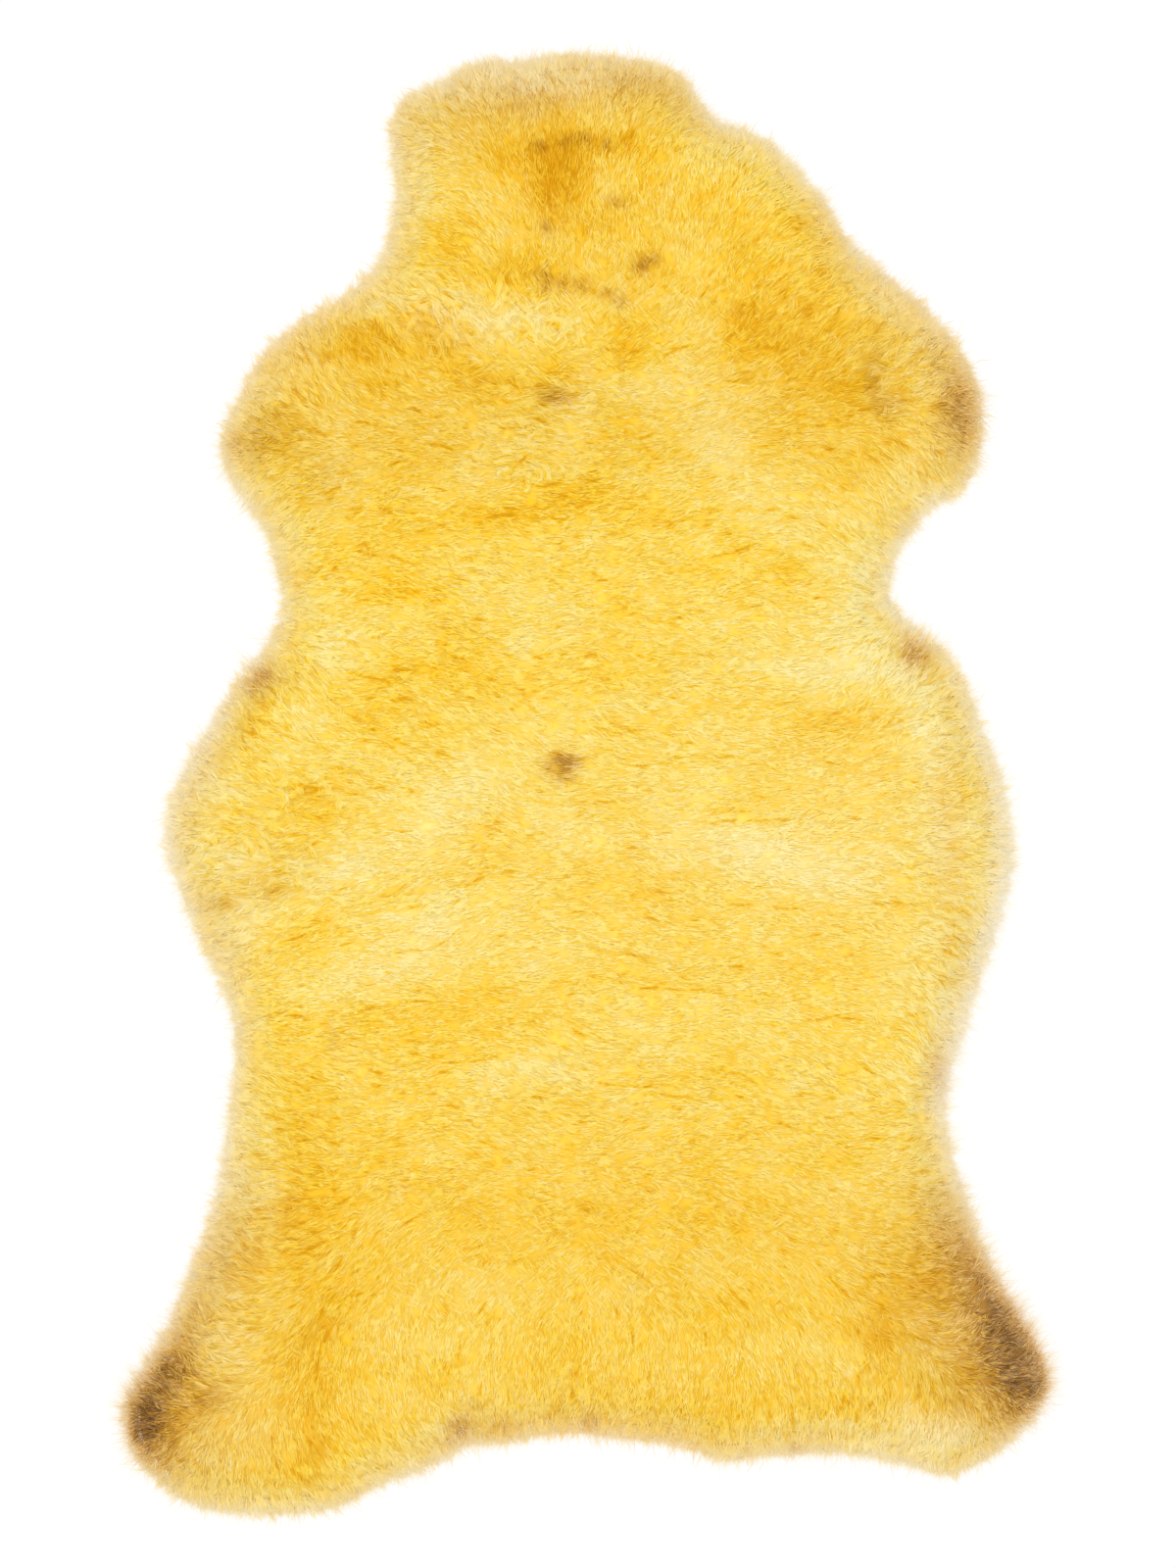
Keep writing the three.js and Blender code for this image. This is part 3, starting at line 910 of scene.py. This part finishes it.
def add_node(tree, kind, settings=None, inputs=None):
    """Adds a node with its settings, and sets or links its inputs by name or number."""
    node = tree.nodes.new(kind)
    for setting, value in (settings or {}).items():
        setattr(node, setting, value)
    for socket, value in (inputs or {}).items():
        if isinstance(value, bpy.types.NodeSocket):
            tree.links.new(value, node.inputs[socket])
        else:
            node.inputs[socket].default_value = value
    return node


def new_material(name):
    """An empty material, and its tree of nodes."""
    material = bpy.data.materials.new(name)
    material.use_nodes = True
    material.node_tree.nodes.clear()
    return material, material.node_tree


def set_ramp(node, stops):
    """Gives a colour ramp its stops, each a position and an sRGB hex value."""
    ramp = node.color_ramp
    while len(ramp.elements) > 1:
        ramp.elements.remove(ramp.elements[0])
    for index, (position, colour) in enumerate(stops):
        stop = ramp.elements[0] if index == 0 else ramp.elements.new(position)
        stop.position = position
        stop.color = paint(colour)


def dyed_wool():
    """Clipped sheep's wool, tanned and dyed golden yellow. Its colour is painted deeper gold near the skin,
    as painted shade where light is caught between the fibres, and the clipped tips are pale and matt with a
    soft bloom of light. Red light passes through the dye nearly whole, so the wool's shades are all between
    gold and cream."""
    material, tree = new_material("dyed clipped wool")
    shares = {
        name: add_node(tree, "ShaderNodeAttribute", {"attribute_name": name}).outputs["Fac"]
        for name in ("along", "tone", "pale", "cream", "amber", "brown")
    }

    # The place in each colour's ramp: how far along the strand, deep colour there being painted shade of
    # the nap's depths, moved by the strand's own tone, which holds the creases' painted shade
    shade = add_node(
        tree, "ShaderNodeMath", {"operation": "MULTIPLY_ADD", "use_clamp": True},
        {0: shares["tone"], 1: TONE_STEP, 2: shares["along"]},
    ).outputs[0]

    # Brown wool turns tan first, and brown where there is more of it
    slightly_brown, strongly_brown = (
        add_node(
            tree, "ShaderNodeMapRange", None,
            {"Value": shares["brown"], "From Min": least, "From Max": most, "To Max": full},
        ).outputs[0]
        for least, most, full in ((0.0, 0.5, 0.9), (0.38, 0.95, 1.0))
    )

    # Each colour lies over the ones before it, by its share. A mix node's colours are inputs 6 and 7.
    coats = [
        (None, GOLDEN_WOOL),
        (shares["pale"], PALE_WOOL),
        (shares["cream"], CREAM_WOOL),
        (shares["amber"], AMBER_WOOL),
        (slightly_brown, TAN_WOOL),
        (strongly_brown, BROWN_WOOL),
    ]
    colour = None
    for share, stops in coats:
        ramp = add_node(tree, "ShaderNodeValToRGB", inputs={0: shade})
        set_ramp(ramp, stops)
        if share is None:
            colour = ramp.outputs[0]
        else:
            mix = add_node(
                tree, "ShaderNodeMix", {"data_type": "RGBA"}, {0: share, 6: colour, 7: ramp.outputs[0]}
            )
            colour = mix.outputs[2]
    surface = add_node(
        tree, "ShaderNodeBsdfPrincipled", None,
        {
            "Base Color": colour,
            "Roughness": 0.85,
            "IOR": 1.55,
            "Specular IOR Level": 0.08,
            "Sheen Weight": 0.05,
            "Sheen Roughness": 0.55,
            "Sheen Tint": paint(0xFFF2C8),
        },
    )
    add_node(tree, "ShaderNodeOutputMaterial", None, {"Surface": surface.outputs[0]})
    return material


def suede_hide():
    """Tanned sheep leather, buffed on its flesh side to a fine suede, pale buff and quite matt. Its tone
    changes over patches about 50 mm across, and its nap is about 1 mm from tuft to tuft."""
    material, tree = new_material("buffed sheep leather")
    place = add_node(tree, "ShaderNodeTexCoord").outputs["Object"]
    patches = add_node(tree, "ShaderNodeTexNoise", None, {"Vector": place, "Scale": 18, "Detail": 6})
    buff = add_node(tree, "ShaderNodeValToRGB", inputs={0: patches.outputs[0]})
    set_ramp(buff, [(0.3, 0xC8AE84), (0.7, 0xDCC8A4)])
    grain = add_node(tree, "ShaderNodeTexNoise", None, {"Vector": place, "Scale": 900, "Detail": 4})
    relief = add_node(
        tree, "ShaderNodeBump", None,
        {"Strength": 0.5, "Distance": 0.0003, "Height": grain.outputs[0]},
    )
    surface = add_node(
        tree, "ShaderNodeBsdfPrincipled", None,
        {
            "Base Color": buff.outputs[0],
            "Roughness": 0.9,
            "IOR": 1.5,
            "Specular IOR Level": 0.25,
            "Sheen Weight": 0.2,
            "Normal": relief.outputs[0],
        },
    )
    add_node(tree, "ShaderNodeOutputMaterial", None, {"Surface": surface.outputs[0]})
    return material


def plain_floor():
    """A plain white studio floor, matt and without a pattern. It glows as a lit table does, so that it
    stays white in the picture."""
    material, tree = new_material("white studio floor")
    surface = add_node(
        tree, "ShaderNodeBsdfPrincipled", None,
        {
            "Base Color": paint(0x909090),
            "Roughness": 0.9,
            "Specular IOR Level": 0.1,
            "Emission Color": paint(0xFFFFFF),
            "Emission Strength": FLOOR_GLOW,
        },
    )
    add_node(tree, "ShaderNodeOutputMaterial", None, {"Surface": surface.outputs[0]})
    return material


# The pieces

def add_hide(material):
    """The tanned skin: a thin sheet lying flat, with its cut edge standing up square."""
    count = len(skin_line)
    low = np.column_stack([skin_line, np.zeros(count)])
    high = np.column_stack([skin_line, np.full(count, SKIN_THICKNESS)])
    mesh = bpy.data.meshes.new("hide")
    around = list(range(count))
    sides = [(i, (i + 1) % count, count + (i + 1) % count, count + i) for i in around]
    faces = [tuple(reversed(around)), tuple(count + i for i in around)]
    mesh.from_pydata((np.vstack([low, high]) * MM).tolist(), [], faces + sides)
    work = bmesh.new()
    work.from_mesh(mesh)
    bmesh.ops.recalc_face_normals(work, faces=work.faces)
    bmesh.ops.triangulate(work, faces=work.faces)
    work.to_mesh(mesh)
    work.free()
    mesh.materials.append(material)
    hide = add_object("hide", mesh)
    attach(hide, "root")


def underwool_cells():
    """The underwool's plan: the places of its points, its four-sided cells, and its rim's edges."""
    grid_x, grid_y = grid(UNDERWOOL_HALF_WIDTH, UNDERWOOL_HALF_LENGTH, UNDERWOOL_STEP)
    inward = read_plan(depth, grid_x, grid_y)
    kept = inward > UNDERWOOL_EDGE - 0.6 * UNDERWOOL_STEP
    cells = kept[:-1, :-1] & kept[1:, :-1] & kept[1:, 1:] & kept[:-1, 1:]
    numbers = np.arange(grid_x.size).reshape(grid_x.shape)
    quads = np.stack(
        [numbers[:-1, :-1][cells], numbers[1:, :-1][cells], numbers[1:, 1:][cells], numbers[:-1, 1:][cells]],
        axis=1,
    )
    used, quads = np.unique(quads, return_inverse=True)
    quads = quads.reshape(-1, 4)
    x, y = grid_x.ravel()[used], grid_y.ravel()[used]

    # Edges with a cell on one side only make the rim, which is drawn in or out to its own depth
    edges = np.concatenate([quads[:, [side, (side + 1) % 4]] for side in range(4)])
    keys = {tuple(edge) for edge in edges.tolist()}
    rim = np.array([edge for edge in edges.tolist() if (edge[1], edge[0]) not in keys])
    on_rim = np.unique(rim)
    for _ in range(RIM_ROUNDS):
        short = UNDERWOOL_EDGE - read_plan(depth, x[on_rim], y[on_rim])
        x[on_rim] -= short * read_plan(out_x, x[on_rim], y[on_rim])
        y[on_rim] -= short * read_plan(out_y, x[on_rim], y[on_rim])
    return x, y, quads, rim


def add_underwool(material):
    """The close underwool: a lumpy felt that fills the pelt below the nap, up to its rounded rim."""
    x, y, quads, rim = underwool_cells()
    lumps = UNDERWOOL_LUMPS * lattice_noise(21, 14)(x, y)
    height = read_plan(nap_height, x, y) - UNDERWOOL_DEPTH + lumps
    height = np.maximum(height, UNDERWOOL_FLOOR + UNDERWOOL_LEAST)
    top = np.column_stack([x, y, height])
    bottom = np.column_stack([x, y, np.full(len(x), float(UNDERWOOL_FLOOR))])
    count = len(x)
    walls = np.stack([rim[:, 1], rim[:, 0], rim[:, 0] + count, rim[:, 1] + count], axis=1)
    faces = np.concatenate([quads, quads[:, ::-1] + count, walls])
    points = np.concatenate([top, bottom])
    # The underwool's colour sits partway down the strands' ramp from deep to pale: painted shade for its
    # depth below the nap
    values = {
        "along": np.full(2 * count, 0.45),
        "tone": np.tile(tone_of_the_wool(x, y), 2),
        **{name: np.tile(strength, 2) for name, strength in marks_at(x, y, 0.5).items()},
    }

    # The flat map has the upper side in its left half, and the rest in its right half
    half = np.repeat([0.0, 0.5, 0.5], [len(quads), len(quads), len(walls)])[:, None]
    spot = points[faces]
    share_x = (spot[..., 0] + UNDERWOOL_HALF_WIDTH) / (2 * UNDERWOOL_HALF_WIDTH)
    share_y = (spot[..., 1] + UNDERWOOL_HALF_LENGTH) / (2 * UNDERWOOL_HALF_LENGTH)
    across = half + MAP_MARGIN + (0.5 - 2 * MAP_MARGIN) * share_x
    uv = np.stack([across, MAP_MARGIN + (1 - 2 * MAP_MARGIN) * share_y], axis=2)
    return build_piece(
        "underwool", points, faces.ravel(), np.arange(len(faces)) * 4, material, values, uv.reshape(-1, 2)
    )


def grow_tufts(random):
    """The tufts' places and settings. Looser ones turn, bend and stand up more. back is how far a tuft
    starts behind its place, pull how far its strands draw together at the tip, hump how much higher its
    middle ones lie, and reach how far apart along it they start."""
    x, y = scattered(random, TUFT_SPACING, NAP_EDGE)
    count = len(x)
    loose = looseness(x, y)
    side = side_of_the_parting(random, x)
    return {
        "x": x,
        "y": y,
        "heading": lie_of_the_wool(x, y, side) + random.normal(0, 1, count) * (0.05 + 0.2 * loose),
        "length": random.uniform(*TUFT_LENGTHS, count) * (1 + 0.5 * loose),
        "bend": random.normal(0, 1, count) * (0.5 + 1.4 * loose),
        "tone": random.normal(0, 0.25, count) + tone_of_the_wool(x, y) * (0.8 + 1.1 * loose),
        "rise": random.normal(0, 1, count) * (0.04 + 0.2 * loose),
        "back": random.uniform(2, 7, count) * smooth_step(42, 14, read_plan(depth, x, y)),
        "spread": random.uniform(*TUFT_SPREADS, count),
        "pull": 0.1 + 0.45 * loose,
        "hump": 0.05 + 0.4 * loose,
        "reach": np.ones(count),
    }


def grow_curls(random):
    """Locks that curl up: each an arc of tufts with a crease along its inner side, painted deeper gold as
    painted shade.
    """
    rows = []
    for across, along, long, wide, turn, curls in CURLY_PLACES:
        cosine, sine = math.cos(math.radians(turn)), math.sin(math.radians(turn))
        for _ in range(curls):
            lengthways, sideways = random.normal(0, 0.28, 2) * (long, wide)
            centre_x = across + lengthways * cosine - sideways * sine
            centre_y = along + lengthways * sine + sideways * cosine
            radius = random.uniform(*CURL_RADII)
            sweep = random.uniform(*CURL_SWEEPS)
            first = random.normal(0.9, 0.8) - sweep / 2
            for station in range(CURL_STATIONS):
                angle = first + sweep * station / CURL_STATIONS
                for inside, spread, tone, rise in CURL_RINGS:
                    ring = radius - inside
                    length = 1.5 * ring * sweep / CURL_STATIONS
                    x, y = centre_x + ring * math.cos(angle), centre_y + ring * math.sin(angle)
                    bend = length ** 2 / (2 * ring)
                    rows.append((x, y, angle + math.pi / 2, length, bend, tone, rise, spread))
    names = ("x", "y", "heading", "length", "bend", "tone", "rise", "spread")
    curls = dict(zip(names, np.array(rows).T))
    curls["tone"] = curls["tone"] + random.normal(0, 0.3, len(rows))
    return curls | {name: np.full(len(rows), value) for name, value in CURL_SETTINGS.items()}


def lay_strands(random, tuft, crease_plan):
    """The tufts' strands as lines along the nap, how deep in a crease each of their points lies, their
    ways forward and beside them, and how far from the middle of its tuft each one is."""
    count = len(tuft["x"])

    # Each strand's line on the plan
    heading = tuft["heading"] + random.normal(0, 0.1, count)
    forward = np.column_stack([np.cos(heading), np.sin(heading)])
    beside = np.column_stack([-forward[:, 1], forward[:, 0]])
    off_centre = np.clip(random.normal(0, 0.55, count), -1.3, 1.3)
    length = tuft["length"] * random.uniform(0.75, 1.2, count)
    start = random.uniform(*TUFT_STARTS, count) * tuft["reach"] - tuft["back"]
    run = start[:, None] + length[:, None] * STATIONS
    drift = (off_centre * tuft["spread"])[:, None] * (1 - tuft["pull"][:, None] * STATIONS ** 1.3)
    drift += tuft["bend"][:, None] * STATIONS ** 2
    flat_x = tuft["x"][:, None] + forward[:, :1] * run + beside[:, :1] * drift
    flat_y = tuft["y"][:, None] + forward[:, 1:] * run + beside[:, 1:] * drift

    # Its height, over the tuft's hump and down into the creases
    creased = read_plan(crease_plan, flat_x, flat_y, CREASE_STEP)
    rise = tuft["rise"] + tuft["hump"] * (0.6 - off_centre ** 2) + random.normal(0, 0.1, count)
    lift = STRAND_LIFTS + rise[:, None] * STRAND_RISES - CREASE_DEPTH * creased
    height = np.maximum(read_plan(nap_height, flat_x, flat_y) + lift, LOWEST_STRAND)
    paths = np.stack([flat_x, flat_y, height], axis=2)
    return paths, creased, forward, beside, off_centre


def add_nap(material, crease_plan):
    """The nap: tufts that lie along the combing, each of some strands that draw together to its tip."""
    random = np.random.default_rng(5)
    tufts, curls = grow_tufts(random), grow_curls(random)
    tufts = {name: np.concatenate([value, curls[name]]) for name, value in tufts.items()}
    tuft = {name: np.repeat(value, STRANDS_A_TUFT) for name, value in tufts.items()}
    count = len(tuft["x"])
    paths, creased, forward, beside, off_centre = lay_strands(random, tuft, crease_plan)
    flat_x, flat_y = paths[..., 0], paths[..., 1]

    # Its light follows the nap's swells, the tuft's rounded back and the strand's own bow
    sideways = rolled(beside, random.normal(0, 0.2, count))
    tilt = (0.2 * tuft["hump"] * off_centre)[:, None] * beside + 0.02 * random.normal(0, 1, (count, 2))
    lean = STRAND_LEANS[:, None] * forward[:, None, :]
    normals = leaning_normals(
        -SWELL_SHADING * read_plan(slope_x, flat_x, flat_y) + tilt[:, :1] + lean[..., 0],
        -SWELL_SHADING * read_plan(slope_y, flat_x, flat_y) + tilt[:, 1:] + lean[..., 1],
    )

    width = STRAND_WIDTH * random.uniform(0.7, 1.3, count)
    # Creases deepen the strands' tone: painted shade in the creases
    strand_tone = (tuft["tone"] + random.normal(0, 1.0, count))[:, None] - CREASE_PAINTED_SHADE * creased
    doubt = random.uniform(0, 1, count)[:, None]
    stray_x = random.normal(0, MARK_STRAY, count)[:, None]
    stray_y = random.normal(0, MARK_STRAY, count)[:, None]
    values = {
        "along": np.broadcast_to(ALONG_STRAND, (count, 3)),
        "tone": strand_tone,
        **marks_at(flat_x + stray_x, flat_y + stray_y, doubt),
    }
    nap = []
    for number in range(NAP_PIECES):
        part = slice(number, None, NAP_PIECES)
        shares = {name: value[part] for name, value in values.items()}
        lines = (paths[part], width[part], sideways[part], normals[part])
        nap.append(build_strands(f"nap_{number + 1}", *lines, shares, material))
    return nap


def add_edge_wool(material):
    """The edge wool: fine strands that stand out past the nap all round, and thin out to nothing."""
    random = np.random.default_rng(6)
    x, y = scattered(random, HAIR_SPACING, HAIR_EDGE)
    inward = read_plan(depth, x, y)
    share = HAIR_SHARE * np.exp(-((inward - ROOT_DEPTH) / ROOT_BREADTH) ** 2)
    chosen = random.permutation(np.flatnonzero(random.uniform(0, 1, len(x)) < share))
    x, y, inward = x[chosen], y[chosen], inward[chosen]
    count = len(x)
    lock, far_lock, lock_bend = lattice_noise(41, 7), lattice_noise(42, 16), lattice_noise(43, 9)

    # Each strand's line on the plan, in locks that turn together. Its tip's depth is below 0 where it
    # stands out past the rest.
    turn = 0.25 * lock(x, y) + 0.35 * far_lock(x, y) + random.normal(0, 0.3, count)
    heading = np.arctan2(read_plan(out_y, x, y), read_plan(out_x, x, y)) + turn
    bend = random.normal(0, 0.3, count) + 0.4 * lock_bend(x, y)
    pale_edge = mark_strength(PALE_EDGES, x, y)
    frayed = 0.62 + 0.6 * pale_edge + 0.5 * mark_strength(BROWN_MARKS, x, y)
    stands_out = random.gamma(2.0, 3.8, count) * frayed + lock(x, y) + 1.5 * far_lock(x, y)
    tip_depth = 7.8 + 7.5 * pale_edge - np.clip(stands_out, -2, 26)
    length = np.clip(inward - tip_depth, *HAIR_LENGTHS)
    angle = heading[:, None] + bend[:, None] * STATIONS
    flat_x = x[:, None] + np.cos(angle) * length[:, None] * STATIONS
    flat_y = y[:, None] + np.sin(angle) * length[:, None] * STATIONS

    # Some strands lie within the rim's slope, and some over it
    surface = read_plan(nap_height, flat_x, flat_y)
    height = surface * random.uniform(0.45, 1.12, count)[:, None] + HAIR_LIFTS
    paths = np.stack([flat_x, flat_y, np.maximum(height, LOWEST_HAIR)], axis=2)
    beside = np.column_stack([-np.sin(heading), np.cos(heading)])
    sideways = rolled(beside, random.uniform(-0.6, 0.6, count))
    normals = leaning_normals(0.12 * np.cos(angle), 0.12 * np.sin(angle))
    doubt = random.uniform(0, 1, count)[:, None]
    # The edge strands' tone rises where the cream runs further in: painted light shining through the thin
    # wool there
    lock_tone = random.normal(0, 1.2, count) + 1.1 * lock(x, y) + 1.6 * pale_edge
    values = {
        "along": np.broadcast_to(ALONG_HAIR, (count, 3)),
        "tone": (lock_tone + tone_of_the_wool(x, y))[:, None],
        **marks_at(flat_x, flat_y, doubt),
    }
    width = HAIR_WIDTH * random.uniform(0.6, 1.4, count)
    return build_strands("edge_wool", paths, width, sideways, normals, values, material)


# The studio

def add_studio():
    """The floor, the sky and the lamp."""
    ways = ((-1, -1), (1, -1), (1, 1), (-1, 1))
    corners = [(x * FLOOR_REACH, y * FLOOR_REACH, FLOOR_LEVEL) for x, y in ways]
    mesh = bpy.data.meshes.new("floor")
    mesh.from_pydata(corners, [], [(0, 1, 2, 3)])
    mesh.materials.append(plain_floor())
    add_object("floor", mesh)

    world = bpy.data.worlds.new("soft white studio")
    world.use_nodes = True
    sky = world.node_tree.nodes["Background"]
    sky.inputs["Color"].default_value = (1, 1, 1, 1)
    sky.inputs["Strength"].default_value = SKY_STRENGTH
    bpy.context.scene.world = world

    lamp = bpy.data.lights.new("overhead softbox", "AREA")
    lamp.shape = "RECTANGLE"
    lamp.size, lamp.size_y = SOFTBOX_SIZE
    lamp.energy = SOFTBOX_POWER
    softbox = add_object("overhead softbox", lamp)
    softbox.location = SOFTBOX_PLACE
    aim = Vector((0, 0, 0)) - softbox.location
    softbox.rotation_mode = "QUATERNION"
    softbox.rotation_quaternion = aim.to_track_quat("-Z", "Y")


def add_camera():
    """The camera, straight above the pelt."""
    data = bpy.data.cameras.new("camera")
    data.lens = LENS
    data.sensor_width = SENSOR
    data.clip_end = CLIP_END
    camera = add_object("camera", data)
    height = EDGE_WOOL_HEIGHT + PICTURE_LENGTH * LENS / SENSOR
    camera.location = (CAMERA_PLACE[0] * MM, CAMERA_PLACE[1] * MM, height * MM)
    bpy.context.scene.camera = camera


# The whole scene

add_camera()
add_studio()
wool = dyed_wool()
add_hide(suede_hide())
underwool = add_underwool(wool)
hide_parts("pelt")
for piece in (underwool, *add_nap(wool, draw_creases()), add_edge_wool(wool)):
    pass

bpy.context.scene.view_settings.view_transform = "Standard"
